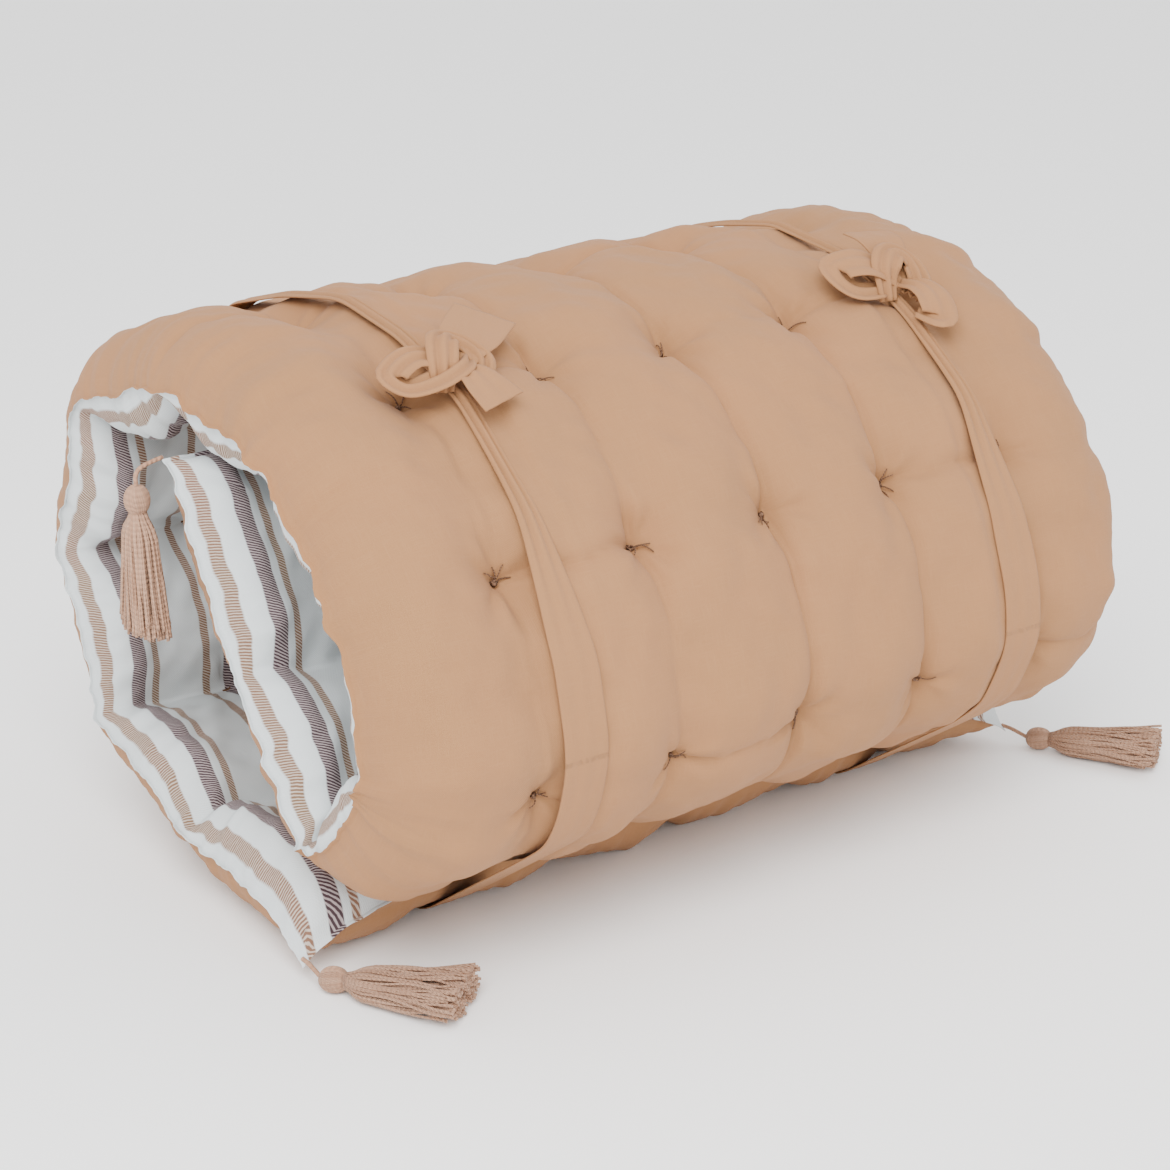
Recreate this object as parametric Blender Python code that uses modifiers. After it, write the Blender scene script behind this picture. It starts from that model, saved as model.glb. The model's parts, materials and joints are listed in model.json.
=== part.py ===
"""Futon mattress, rolled up and tied.

The mattress is a row of padded spans between rows of tufting. It bends at the
tuft rows, where the pad is thin. Each span has a striped cover on top, a plain
base cover underneath and a batt of filling between them. Two cloth ties hold
the roll, and a tassel hangs from each corner.

Rolled up, the tail span lies on the floor, striped side up. The roll climbs up
the back, passes over the top, comes down the front and curls up inside.

Units are metres. +X runs along the roll, +Y towards its back, +Z up. The origin
is the middle of the tail span's flat underside.
"""
import math

import bmesh
import bpy
import numpy as np
from mathutils import Matrix, Vector

# The pad
WIDTH = 0.700               # side seam to side seam
ROW_PITCH = 0.144           # tuft row to tuft row
TAIL_SPAN = 0.175           # tail end seam to the first tuft row
INNER_SPAN = 0.170          # last tuft row to the inner end seam
TOP_LOFT = 0.034            # striped side, crown above the middle surface
BASE_LOFT = 0.040           # plain side, crown below the middle surface
FOLD_TURNS = (20, 47, 43, 50, 27, 32, 32, 75, 87, 5)  # degrees at each row, rolled
FABRIC = 0.0010             # cover thickness
EDGE_ROUND = 0.060          # how far in from a side seam the full loft starts
CROWN_FULLNESS = 1.25       # above 1, the middle of a span is flat
ROW_GAP = 0.0022            # cover edge to its fold line
PRESS_GAP = 0.0015          # covers pressed together in a fold, to the fold's mid plane
LAYER_GAP = 0.0015          # layer to layer in the roll
SEAM_GAP = 0.0003           # cover to the middle surface at a seam
PART_GAP = 0.0004           # resting pieces that do not move apart
FILLING_WALL = 2.6          # cover wall kept clear of the filling, in cover thicknesses
FILLING_INSET = 0.014       # filling, from every edge of its span
PRESSED = 0.95              # share of the seam height kept where covers press together
EDGE_LINES = (0.0, 0.15, 0.45)  # grid lines in the rounded side edge, as shares of it
ROW_LINES = (0.0, 0.05, 0.13, 0.29, 0.5, 0.71, 0.87, 0.95, 1.0)  # grid lines along a span
FILLING_LINES = 7           # grid lines along a batt of filling
OUTLINE_POINTS = 17         # samples along a span when layers are kept apart
TAUT_POINTS = 13            # further samples along a span when a tie is drawn round it
TIGHTNESS_STEP = 0.01
COVER_CREASE = 40           # degrees between facets that still look smooth

# Tufting
TUFT_COLUMNS = 5
COLUMN_PITCH = 0.1167
THREAD_RADIUS = 0.0009
STITCH_DEPTH = 0.008        # loop of thread on the plain side
STITCH_WIDTH = 0.005

# Ties
TIE_WIDTH = 0.040
TIE_THICKNESS = 0.0014
TIE_TO_TUFT = 0.005         # tie edge to the outer tuft column beside it
TIE_GROOVE = 0.0032         # how deep the taut tie sinks into the pad
GROOVE_EASE = 0.003         # groove wider than the tie, each side
GROOVE_SLOPE = 0.006
KNOT_ROW = 6                # the knots sit over this tuft row
KNOT_SIZE = (0.074, 0.052, 0.024)
TAIL_LENGTH = 0.045         # free end of a tie, past the knot
TAIL_WIDTH = 0.026
TAIL_TURNS = (40, -75)      # degrees of each free end, in the knot's plane
TAIL_ROOT = 0.25            # free end's start inside the knot, in knot lengths
TAIL_HEIGHT = 0.55          # free end above the knot's foot, in knot heights

# Tassels
CORD_RADIUS = 0.0014
CORD_LENGTH = 0.012         # corner seam to the tassel's head
FLOOR_CORD = ((0.0, 0.0), (0.3, 0.3), (0.6, 0.9), (0.8, 1.0), (1.0, 1.0))  # shares out and down
HANGING_CORD = ((0.75, 0.0), (1.0, 0.3), (1.0, 1.0))    # shares out and down
HEAD_RADIUS = 0.0088
HEAD_STRETCH = 1.15         # length of a head over its width
HEAD_FACETS = (12, 8)       # round the head, and from top to bottom
SKIRT_FACETS = 16
SKIRT_CREASE = 50           # degrees between facets that still look smooth
HEAD_DROP = 0.0015          # the cord's free end to the head, so that the head can swing
SKIRT_LENGTH = 0.090
SKIRT_TOP = (0.0165, 0.0105)    # half width and half thickness under the head
SKIRT_END = (0.0275, 0.0130)    # the same at the cut ends
TASSEL_OUT = 0.0160         # hanging tassel, from the side seam
FLOOR_TASSEL_TURN = -58     # degrees from +X, seen from above

SEAM_HEIGHT = FABRIC + SEAM_GAP
SPANS = len(FOLD_TURNS) + 1
SPAN_LENGTHS = [TAIL_SPAN] + [ROW_PITCH] * (SPANS - 2) + [INNER_SPAN]
COLUMNS_X = [(i - (TUFT_COLUMNS - 1) / 2) * COLUMN_PITCH for i in range(TUFT_COLUMNS)]
TIE_X = COLUMNS_X[-1] - STITCH_WIDTH / 2 - THREAD_RADIUS - TIE_TO_TUFT - TIE_WIDTH / 2

TAN = (0.60, 0.43, 0.30)
WHITE = (0.80, 0.81, 0.80)
FILLING = (0.86, 0.84, 0.78)
THREAD = (0.30, 0.20, 0.14)
YARN = (0.58, 0.41, 0.29)


def clear_scene():
    for thing in list(bpy.data.objects):
        bpy.data.objects.remove(thing, do_unlink=True)


def material(name, colour, roughness):
    finish = bpy.data.materials.new(name)
    finish.use_nodes = True
    shader = finish.node_tree.nodes["Principled BSDF"]
    shader.inputs["Base Color"].default_value = (*colour, 1.0)
    shader.inputs["Roughness"].default_value = roughness
    shader.inputs["Metallic"].default_value = 0.0
    return finish


def add_object(name, data, parent, finish, place=None):
    thing = bpy.data.objects.new(name, data)
    futon.objects.link(thing)
    thing.parent = parent
    if place is not None:
        thing.matrix_local = place
    if finish is not None:
        data.materials.append(finish)
    return thing


# Shape of a span

def crown(along, length):
    """Share of the full loft: a parabola between the two rows, cut flat on top."""
    s = np.clip(along / length, 0.0, 1.0)
    return np.minimum(1.0, CROWN_FULLNESS * (1.0 - (2.0 * s - 1.0) ** 2))


def side_rounding(x):
    """Share of the full loft: a quarter circle at each side seam, then level."""
    inset = np.clip((WIDTH / 2 - np.abs(x)) / EDGE_ROUND, 0.0, 1.0)
    return np.sqrt(1.0 - (1.0 - inset) ** 2)


def groove(x):
    """Depth of the tie groove at x: full under the tie, then sloping out."""
    past = np.abs(np.abs(x) - TIE_X) - TIE_WIDTH / 2 - GROOVE_EASE
    return TIE_GROOVE * np.clip(1.0 - past / GROOVE_SLOPE, 0.0, 1.0)


def top_height(span, x, along):
    """Striped side above the middle surface, pressed flat against its neighbours."""
    length = SPAN_LENGTHS[span]
    height = SEAM_HEIGHT + (TOP_LOFT - SEAM_HEIGHT) * crown(along, length) * side_rounding(x)
    for row, distance in ((span - 1, along), (span, length - along)):
        if 0 <= row < len(FOLD_TURNS):
            slope = math.tan(math.radians(90 - FOLD_TURNS[row] / 2))
            room = (distance - PRESS_GAP) * slope
            height = np.minimum(height, np.maximum(room, SEAM_HEIGHT * PRESSED))
    return height


def base_height(span, x, along):
    """Plain side below the middle surface, sunk under the ties."""
    full = crown(along, SPAN_LENGTHS[span]) * side_rounding(x)
    height = SEAM_HEIGHT + (BASE_LOFT - SEAM_HEIGHT) * full
    return np.maximum(height - groove(x), SEAM_HEIGHT)


# The roll

def rolled_chain(share):
    """Fold points (Y, Z) and headings, with every fold at this share of its turn."""
    heading = np.radians(np.concatenate(([0.0], np.cumsum(FOLD_TURNS) * share)))
    steps = np.array(SPAN_LENGTHS)[:, None] * np.stack((np.cos(heading), np.sin(heading)), 1)
    points = np.concatenate(([[0.0, 0.0]], np.cumsum(steps, 0)))
    return points + np.array([-TAIL_SPAN / 2, BASE_LOFT]), heading


def outline(span, points, heading, side):
    """One side's outline of a span at mid width, in the roll's Y and Z."""
    along = np.linspace(0.0, SPAN_LENGTHS[span], OUTLINE_POINTS)
    height = top_height(span, 0.0, along) if side > 0 else -base_height(span, 0.0, along)
    d = np.array([math.cos(heading[span]), math.sin(heading[span])])
    n = np.array([-d[1], d[0]])
    return points[span] + along[:, None] * d + height[:, None] * n


def layers_clear(share):
    points, heading = rolled_chain(share)
    for i in range(SPANS):
        d = np.array([math.cos(heading[i]), math.sin(heading[i])])
        n = np.array([-d[1], d[0]])
        for j in range(SPANS):
            if abs(i - j) < 2:
                continue
            for side in (1, -1):
                away = outline(j, points, heading, side) - points[i]
                along = away @ d
                up = away @ n
                over = (along > -LAYER_GAP) & (along < SPAN_LENGTHS[i] + LAYER_GAP)
                under_top = up < top_height(i, 0.0, along) + LAYER_GAP
                above_base = up > -base_height(i, 0.0, along) - LAYER_GAP
                if np.any(over & under_top & above_base):
                    return False
    return True


def roll_tightness():
    """Largest share of the fold turns, in small steps, at which no two layers touch."""
    share = 1.0
    while share > 0.0 and not layers_clear(share):
        share -= TIGHTNESS_STEP
    return share


# Covers and filling

def cover_columns():
    """Grid lines across the pad: close at the seams and at the tie grooves."""
    half = WIDTH / 2
    inner = TIE_WIDTH / 2 + GROOVE_EASE
    lines = [half - EDGE_ROUND * share for share in EDGE_LINES]
    lines += [TIE_X + inner + GROOVE_SLOPE, TIE_X + inner, TIE_X - inner,
              TIE_X - inner - GROOVE_SLOPE]
    return np.array(sorted([-x for x in lines] + [0.0] + lines))


def span_rows(span, inset):
    """Grid lines along a span, from one fold line to the next."""
    first = PART_GAP if span == 0 else inset
    last = SPAN_LENGTHS[span] - (PART_GAP if span == SPANS - 1 else inset)
    return first + (last - first) * np.array(ROW_LINES)


def grid_mesh(name, xs, ys, height, flip):
    """A grid over xs and ys, raised by height(x, y)."""
    bm = bmesh.new()
    rows = [[bm.verts.new((x, y, float(height(x, y)))) for x in xs] for y in ys]
    for near, far in zip(rows, rows[1:]):
        for a, b, c, d in zip(near, near[1:], far[1:], far):
            bm.faces.new((d, c, b, a) if flip else (a, b, c, d))
    mesh = bpy.data.meshes.new(name)
    bm.to_mesh(mesh)
    bm.free()
    return mesh


def add_cover(name, span, height, up, parent, finish):
    """A cover: its outer face as a grid, given the fabric's thickness inwards."""
    mesh = grid_mesh(name, cover_columns(), span_rows(span, ROW_GAP),
                     lambda x, y: up * height(span, x, y), flip=up < 0)
    cover = add_object(name, mesh, parent, finish)
    wall = cover.modifiers.new("fabric", "SOLIDIFY")
    wall.thickness = FABRIC
    wall.offset = -1.0
    mesh.shade_smooth()
    mesh.set_sharp_from_angle(angle=math.radians(COVER_CREASE))
    return cover


def under_cover(span, height, xs, ys):
    """How high the filling may rise at xs and ys: the cover's own facets less its wall."""
    lines, rows = cover_columns(), span_rows(span, ROW_GAP)
    facets = np.array([height(span, lines, y) for y in rows])
    across = np.array([np.interp(xs, lines, row) for row in facets])
    surface = np.array([np.interp(ys, rows, column) for column in across.T]).T
    return np.maximum(surface - FABRIC * FILLING_WALL, SEAM_GAP / 2)


def add_batting(name, span, parent, finish):
    """The filling: a closed pad that stays inside both covers."""
    edge = WIDTH / 2 - FILLING_INSET
    xs = np.unique(np.clip(cover_columns(), -edge, edge))
    ys = np.linspace(FILLING_INSET, SPAN_LENGTHS[span] - FILLING_INSET, FILLING_LINES)
    bm = bmesh.new()
    sheets = []
    for height, up in ((top_height, 1), (base_height, -1)):
        raised = under_cover(span, height, xs, ys) * up
        rows = [[bm.verts.new((x, y, z)) for x, z in zip(xs, line)] for y, line in zip(ys, raised)]
        sheets.append(rows)
        for near, far in zip(rows, rows[1:]):
            for a, b, c, d in zip(near, near[1:], far[1:], far):
                bm.faces.new((a, b, c, d) if up > 0 else (d, c, b, a))
    rims = [rows[0][:-1] + [row[-1] for row in rows[:-1]] + rows[-1][:0:-1]
            + [row[0] for row in rows[:0:-1]] for rows in sheets]
    upper, lower = rims
    for a, b, c, d in zip(upper, lower, lower[1:] + lower[:1], upper[1:] + upper[:1]):
        bm.faces.new((a, b, c, d))
    mesh = bpy.data.meshes.new(name)
    bm.to_mesh(mesh)
    bm.free()
    mesh.shade_smooth()
    return add_object(name, mesh, parent, finish)


def add_tube(name, points, radius, parent, finish, place=None):
    """A round thread or cord along points, with closed ends."""
    curve = bpy.data.curves.new(name, "CURVE")
    curve.dimensions = "3D"
    curve.bevel_depth = radius
    curve.bevel_resolution = 1
    curve.use_fill_caps = True
    line = curve.splines.new("POLY")
    line.points.add(len(points) - 1)
    for point, place_at in zip(line.points, points):
        point.co = (*place_at, 1.0)
    return add_object(name, curve, parent, finish, place)


def add_tuft_row(name, span, parent, finish):
    """Thread along a tuft row, looping out on the plain side at each tuft."""
    y = SPAN_LENGTHS[span]
    half = STITCH_WIDTH / 2
    points = []
    for x in COLUMNS_X:
        points += [(x - half, y, 0.0), (x - half, y, -STITCH_DEPTH),
                   (x + half, y, -STITCH_DEPTH), (x + half, y, 0.0)]
    return add_tube(name, points, THREAD_RADIUS, parent, finish)


# Ties

def convex_hull(points):
    """The taut line round a set of (Y, Z) points, anticlockwise."""
    ordered = sorted(map(tuple, points))

    def half_hull(sequence):
        chain = []
        for p in sequence:
            while len(chain) > 1:
                (ay, az), (by, bz) = chain[-2], chain[-1]
                if (by - ay) * (p[1] - az) - (bz - az) * (p[0] - ay) > 0:
                    break
                chain.pop()
            chain.append(p)
        return chain[:-1]
    return np.array(half_hull(ordered) + half_hull(ordered[::-1]))


def tie_line(points, heading):
    """The taut line of a tie round the roll, a part gap clear of the cover."""
    around = []
    for span in range(SPANS):
        even = np.linspace(0.0, SPAN_LENGTHS[span], TAUT_POINTS)
        along = np.concatenate((span_rows(span, ROW_GAP), even))
        d = np.array([math.cos(heading[span]), math.sin(heading[span])])
        n = np.array([-d[1], d[0]])
        for height in (-base_height(span, TIE_X, along), top_height(span, TIE_X, along)):
            around.append(points[span] + along[:, None] * d + height[:, None] * n)
    hull = convex_hull(np.concatenate(around))
    step = np.roll(hull, -1, 0) - hull
    normal = np.stack((step[:, 1], -step[:, 0]), 1) / np.hypot(*step.T)[:, None]
    before = np.roll(normal, 1, 0)
    mitre = (normal + before) / (1.0 + np.sum(normal * before, 1))[:, None]
    return hull + mitre * PART_GAP


def add_tie(name, line, x, parent, finish):
    """A closed cloth band: the taut line drawn out to the tie's width."""
    bm = bmesh.new()
    ring = [bm.verts.new((x - TIE_WIDTH / 2, y, z)) for y, z in line]
    edges = [bm.edges.new((a, b)) for a, b in zip(ring, ring[1:] + ring[:1])]
    drawn = bmesh.ops.extrude_edge_only(bm, edges=edges)["geom"]
    moved = [v for v in drawn if isinstance(v, bmesh.types.BMVert)]
    bmesh.ops.translate(bm, verts=moved, vec=(TIE_WIDTH, 0.0, 0.0))
    bm.normal_update()
    middle = Vector((x, float(line[:, 0].mean()), float(line[:, 1].mean())))
    face = max(bm.faces, key=lambda f: f.calc_center_median().z)
    if face.normal.dot(face.calc_center_median() - middle) < 0:
        bmesh.ops.reverse_faces(bm, faces=bm.faces)
    mesh = bpy.data.meshes.new(name)
    bm.to_mesh(mesh)
    bm.free()
    band = add_object(name, mesh, parent, finish, parent.matrix_world.inverted())
    wall = band.modifiers.new("cloth", "SOLIDIFY")
    wall.thickness = TIE_THICKNESS
    wall.offset = 1.0
    return band


def knot_place(line, points, x):
    """Frame of a knot: outside the tie over its tuft row, +Z away from the pad."""
    centre = points[KNOT_ROW]
    middle = line.mean(0)
    outward = (centre - middle) / np.hypot(*(centre - middle))
    step = np.roll(line, -1, 0) - line
    normal = np.stack((step[:, 1], -step[:, 0]), 1) / np.hypot(*step.T)[:, None]
    halfway = (line + np.roll(line, -1, 0)) / 2
    beside = halfway - centre
    off_axis = np.abs(outward[0] * beside[:, 1] - outward[1] * beside[:, 0])
    off_axis[(halfway - middle) @ outward < 0] = np.inf
    facing = int(np.argmin(off_axis))
    n = normal[facing]
    reach = float((line[facing] - centre) @ n)
    foot = centre + n * (reach + TIE_THICKNESS + PART_GAP)
    up = Vector((0.0, float(n[0]), float(n[1])))
    side = Vector((1.0, 0.0, 0.0))
    down = up.cross(side)
    frame = Matrix((side, down, up)).transposed().to_4x4()
    frame.translation = Vector((x, float(foot[0]), float(foot[1])))
    return frame


def add_knot(name, line, points, x, parent, finish):
    """A flattened knot with two square-cut tails, joined into one body."""
    frame = knot_place(line, points, x)
    bm = bmesh.new()
    bmesh.ops.create_icosphere(bm, subdivisions=2, radius=0.5)
    bmesh.ops.scale(bm, vec=KNOT_SIZE, verts=bm.verts)
    bmesh.ops.translate(bm, vec=(0.0, 0.0, KNOT_SIZE[2] / 2), verts=bm.verts)
    mesh = bpy.data.meshes.new(name)
    bm.to_mesh(mesh)
    bm.free()
    mesh.shade_smooth()
    knot = add_object(name, mesh, parent, finish, parent.matrix_world.inverted() @ frame)
    for tail, turn in enumerate(TAIL_TURNS):
        bm = bmesh.new()
        bmesh.ops.create_cube(bm, size=1.0)
        reach = KNOT_SIZE[0] * TAIL_ROOT + TAIL_LENGTH
        bmesh.ops.scale(bm, vec=(reach, TAIL_WIDTH, TIE_THICKNESS * 2), verts=bm.verts)
        bmesh.ops.translate(bm, vec=(reach / 2, 0.0, KNOT_SIZE[2] * TAIL_HEIGHT), verts=bm.verts)
        bmesh.ops.rotate(bm, verts=bm.verts, matrix=Matrix.Rotation(math.radians(turn), 3, "Z"))
        piece = bpy.data.meshes.new(f"{name}_tail_{tail}")
        bm.to_mesh(piece)
        bm.free()
        cutter = bpy.data.objects.new(f"{name}_tail_{tail}", piece)
        cutters.objects.link(cutter)
        cutter.matrix_world = frame
        cutter.hide_render = True
        cutter.display_type = "WIRE"
        join = knot.modifiers.new(f"tail_{tail}", "BOOLEAN")
        join.operation = "UNION"
        join.object = cutter
    return knot


# Tassels

def add_head(name, parent, finish, place):
    bm = bmesh.new()
    round_it, down_it = HEAD_FACETS
    bmesh.ops.create_uvsphere(bm, u_segments=round_it, v_segments=down_it, radius=HEAD_RADIUS)
    bmesh.ops.scale(bm, vec=(1.0, 1.0, HEAD_STRETCH), verts=bm.verts)
    mesh = bpy.data.meshes.new(name)
    bm.to_mesh(mesh)
    bm.free()
    mesh.shade_smooth()
    return add_object(name, mesh, parent, finish, place)


def add_skirt(name, parent, finish, place):
    """A flattened cone of yarn, widening to its cut ends."""
    bm = bmesh.new()
    bmesh.ops.create_cone(bm, cap_ends=True, segments=SKIRT_FACETS, radius1=1.0, radius2=1.0,
                          depth=SKIRT_LENGTH)
    for vert in bm.verts:
        wide, thick = SKIRT_TOP if vert.co.z > 0 else SKIRT_END
        vert.co.x *= wide
        vert.co.y *= thick
    mesh = bpy.data.meshes.new(name)
    bm.to_mesh(mesh)
    bm.free()
    mesh.shade_smooth()
    mesh.set_sharp_from_angle(angle=math.radians(SKIRT_CREASE))
    return add_object(name, mesh, parent, finish, place)


def add_pivot(name, parent, frame):
    """An empty at a tassel's corner or knot, set by its frame in the roll."""
    pivot = bpy.data.objects.new(name, None)
    futon.objects.link(pivot)
    pivot.parent = parent
    pivot.matrix_local = parent.matrix_world.inverted() @ frame
    bpy.context.view_layer.update()
    return pivot


def axes_frame(x_axis, z_axis, origin):
    """A frame from two directions at right angles and an origin."""
    frame = Matrix((x_axis, z_axis.cross(x_axis), z_axis)).transposed().to_4x4()
    frame.translation = origin
    return frame


def add_head_and_skirt(tag, pivot, place):
    """Head and skirt along -Z of place, which is the end of the tassel's cord."""
    head_half = HEAD_RADIUS * HEAD_STRETCH
    head = place @ Matrix.Translation((0, 0, -HEAD_DROP - head_half))
    skirt = head @ Matrix.Translation((0, 0, -head_half - PART_GAP - SKIRT_LENGTH / 2))
    add_head(f"tassel_head_{tag}", pivot, yarn, head)
    add_skirt(f"tassel_skirt_{tag}", pivot, yarn, skirt)


def add_floor_tassel(tag, corner, parent):
    """A tassel that lies on the floor, on a cord that drops from the pad's corner."""
    turn = math.radians(FLOOR_TASSEL_TURN)
    out = Vector((math.cos(turn), math.sin(turn), 0.0))
    up = Vector((0.0, 0.0, 1.0))
    pivot = add_pivot(f"tassel_pivot_{tag}", parent, axes_frame(out, up, corner))
    rest = HEAD_RADIUS + PART_GAP - corner.z
    start = CORD_RADIUS * 2 + PART_GAP
    line = [(start + CORD_LENGTH * out_by, 0, rest * down_by) for out_by, down_by in FLOOR_CORD]
    add_tube(f"tassel_cord_{tag}", line, CORD_RADIUS, pivot, yarn)
    rise = math.atan2(SKIRT_END[1] - HEAD_RADIUS, SKIRT_LENGTH + HEAD_RADIUS)
    lying = Matrix.Translation((start + CORD_LENGTH, 0, rest))
    lying = lying @ Matrix.Rotation(-math.pi / 2 - rise, 4, "Y")
    lying = lying @ Matrix.Rotation(math.pi / 2, 4, "Z")
    add_head_and_skirt(tag, pivot, lying)


def add_hanging_tassel(tag, corner, sign, parent):
    """A tassel that hangs beside the open end of the roll, from the pad's corner."""
    along = Vector((0.0, 1.0, 0.0))
    up = Vector((0.0, 0.0, 1.0))
    pivot = add_pivot(f"tassel_pivot_{tag}", parent, axes_frame(along, up, corner))
    start = CORD_RADIUS + PART_GAP
    line = [(0, -sign * start, 0)]
    line += [(0, -sign * TASSEL_OUT * out_by, -CORD_LENGTH * down_by)
             for out_by, down_by in HANGING_CORD]
    add_tube(f"tassel_cord_{tag}", line, CORD_RADIUS, pivot, yarn)
    end = axes_frame(along, up, corner + Vector((sign * TASSEL_OUT, 0, -CORD_LENGTH)))
    swing = add_pivot(f"tassel_swing_{tag}", pivot, end)
    add_head_and_skirt(tag, swing, Matrix.Identity(4))


clear_scene()
futon = bpy.data.collections.new("futon_mattress")
cutters = bpy.data.collections.new("cutters")
bpy.context.scene.collection.children.link(futon)
bpy.context.scene.collection.children.link(cutters)

striped = material("striped_cotton", WHITE, 0.90)
plain = material("tan_cotton", TAN, 0.90)
filling = material("cotton_filling", FILLING, 1.0)
thread = material("tufting_thread", THREAD, 0.80)
yarn = material("tassel_yarn", YARN, 0.95)

tightness = roll_tightness()
fold_points, headings = rolled_chain(tightness)

# A chain of empties, one at the start of each span, on the fold's axis.
span_frames = []
for span in range(SPANS):
    pivot = bpy.data.objects.new(f"span_{span + 1:02d}_pivot", None)
    futon.objects.link(pivot)
    if span == 0:
        pivot.location = (0.0, -TAIL_SPAN / 2, BASE_LOFT)
    else:
        pivot.parent = span_frames[-1]
        pivot.location = (0.0, SPAN_LENGTHS[span - 1], 0.0)
        pivot.rotation_euler = (math.radians(FOLD_TURNS[span - 1]) * tightness, 0.0, 0.0)
    span_frames.append(pivot)
bpy.context.view_layer.update()

for span, pivot in enumerate(span_frames):
    number = f"{span + 1:02d}"
    add_cover(f"striped_cover_{number}", span, top_height, 1, pivot, striped)
    add_cover(f"base_cover_{number}", span, base_height, -1, pivot, plain)
    add_batting(f"batting_{number}", span, pivot, filling)
    if span < SPANS - 1:
        add_tuft_row(f"tuft_row_{number}", span, pivot, thread)

taut = tie_line(fold_points, headings)
for side, x in (("left", -TIE_X), ("right", TIE_X)):
    add_tie(f"tie_{side}", taut, x, span_frames[0], plain)
    add_knot(f"tie_knot_{side}", taut, fold_points, x, span_frames[0], plain)

# The tail's tassels lie on the floor; the inner end's hang beside the open ends.
tail_frame, inner_frame = span_frames[0].matrix_world, span_frames[-1].matrix_world
for side, sign in (("left", -1), ("right", 1)):
    add_floor_tassel(f"tail_{side}", tail_frame @ Vector((sign * WIDTH / 2, 0, 0)), span_frames[0])
    add_hanging_tassel(f"inner_{side}", inner_frame @ Vector((sign * WIDTH / 2, INNER_SPAN, 0)),
                       sign, span_frames[-1])
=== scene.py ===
"""Looks of a rolled futon mattress: two tufted cotton covers on a filling, ties, knots and tassels.

Everything is in metres. The pad is first laid out flat, as x across, s along from the tail
seam and h above its middle surface, and then rolled over the hinges of the tuft rows.
"""
import json
import math

import bpy
import numpy as np
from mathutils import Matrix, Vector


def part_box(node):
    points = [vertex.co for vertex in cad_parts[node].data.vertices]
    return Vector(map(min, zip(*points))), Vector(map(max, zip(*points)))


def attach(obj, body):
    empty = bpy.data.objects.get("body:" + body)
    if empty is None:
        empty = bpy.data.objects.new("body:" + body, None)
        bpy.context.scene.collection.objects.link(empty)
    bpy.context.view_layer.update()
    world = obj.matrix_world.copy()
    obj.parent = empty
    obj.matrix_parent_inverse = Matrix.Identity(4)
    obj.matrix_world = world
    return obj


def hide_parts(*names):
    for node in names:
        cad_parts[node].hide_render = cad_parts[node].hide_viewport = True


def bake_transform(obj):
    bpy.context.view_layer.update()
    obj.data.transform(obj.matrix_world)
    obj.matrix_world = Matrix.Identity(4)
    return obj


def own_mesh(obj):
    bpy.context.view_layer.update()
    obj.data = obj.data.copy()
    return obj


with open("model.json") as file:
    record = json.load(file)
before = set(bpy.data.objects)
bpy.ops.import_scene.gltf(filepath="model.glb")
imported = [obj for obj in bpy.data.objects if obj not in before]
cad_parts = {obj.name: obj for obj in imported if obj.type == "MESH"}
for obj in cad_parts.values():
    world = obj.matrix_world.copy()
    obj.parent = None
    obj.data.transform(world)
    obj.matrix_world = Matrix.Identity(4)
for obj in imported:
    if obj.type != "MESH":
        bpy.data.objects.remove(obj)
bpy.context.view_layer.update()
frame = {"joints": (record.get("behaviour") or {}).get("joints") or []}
joints = {j["name"]: j for j in frame["joints"]}

# The roll, from the hinges
ROWS = 10
COLUMN_PITCH = 0.1167
COLUMNS = (np.arange(5) - 2) * COLUMN_PITCH
STRIPED_LOFT = 0.034
PLAIN_LOFT = 0.041
CELL = 0.003                # size of the pads' grid cells
LIP = 0.0035                # flat edge where the two covers are sewn together
SEAM_LIFT = 0.010           # side seam, above the middle surface
TUCKS = ((7, 0.046, 0.050), (8, 0.022, 0.040), (6, 0.010, 0.050))  # seam drawn inwards: row, by, spread
FULLNESS = (0.72, 0.80, 0.84, 0.84, 0.84, 0.84, 0.80, 0.72, 0.16, 0.50)  # plain side at each row

TAIL = np.array(joints["tail_tassel_left_swivel"]["pos_m"])
TIP = np.array(joints["inner_tassel_left_hang"]["pos_m"])
HINGES = [joints[f"fold_{row + 1:02d}"]["pos_m"][1:] for row in range(ROWS)]
POINTS = np.array([TAIL[1:], *HINGES, TIP[1:]])
HALF = abs(TAIL[0])
STEPS = np.diff(POINTS, axis=0)
LENGTHS = np.hypot(*STEPS.T)
ALONG = STEPS / LENGTHS[:, None]
UP = np.stack((-ALONG[:, 1], ALONG[:, 0]), 1)
FOLD_S = np.cumsum(LENGTHS)[:-1]
TOTAL = LENGTHS.sum()
MIDDLES = np.concatenate(([0.0], np.cumsum(LENGTHS)[:-1])) + LENGTHS / 2
TIE_X = float(sum(c[0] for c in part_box("tie_right")) / 2)


def smooth(u):
    """3u^2 - 2u^3 with u kept between 0 and 1."""
    u = np.clip(u, 0.0, 1.0)
    return u * u * (3.0 - 2.0 * u)


def wander(a, b, size, seed, waves=14):
    """Smooth random relief about -1 to 1: the sum of cosines with seeded directions and phases."""
    rng = np.random.default_rng(seed)
    total = np.zeros(np.broadcast(a, b).shape)
    for _ in range(waves):
        angle, phase = rng.uniform(0, 2 * math.pi, 2)
        number = 2 * math.pi / size * rng.uniform(0.6, 1.6)
        total += np.cos(number * (a * math.cos(angle) + b * math.sin(angle)) + phase)
    return total / math.sqrt(waves)


def nearest_row(s):
    """Index of the tuft row whose half spans hold s."""
    return np.clip(np.searchsorted(MIDDLES, s) - 1, 0, ROWS - 1)


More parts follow.
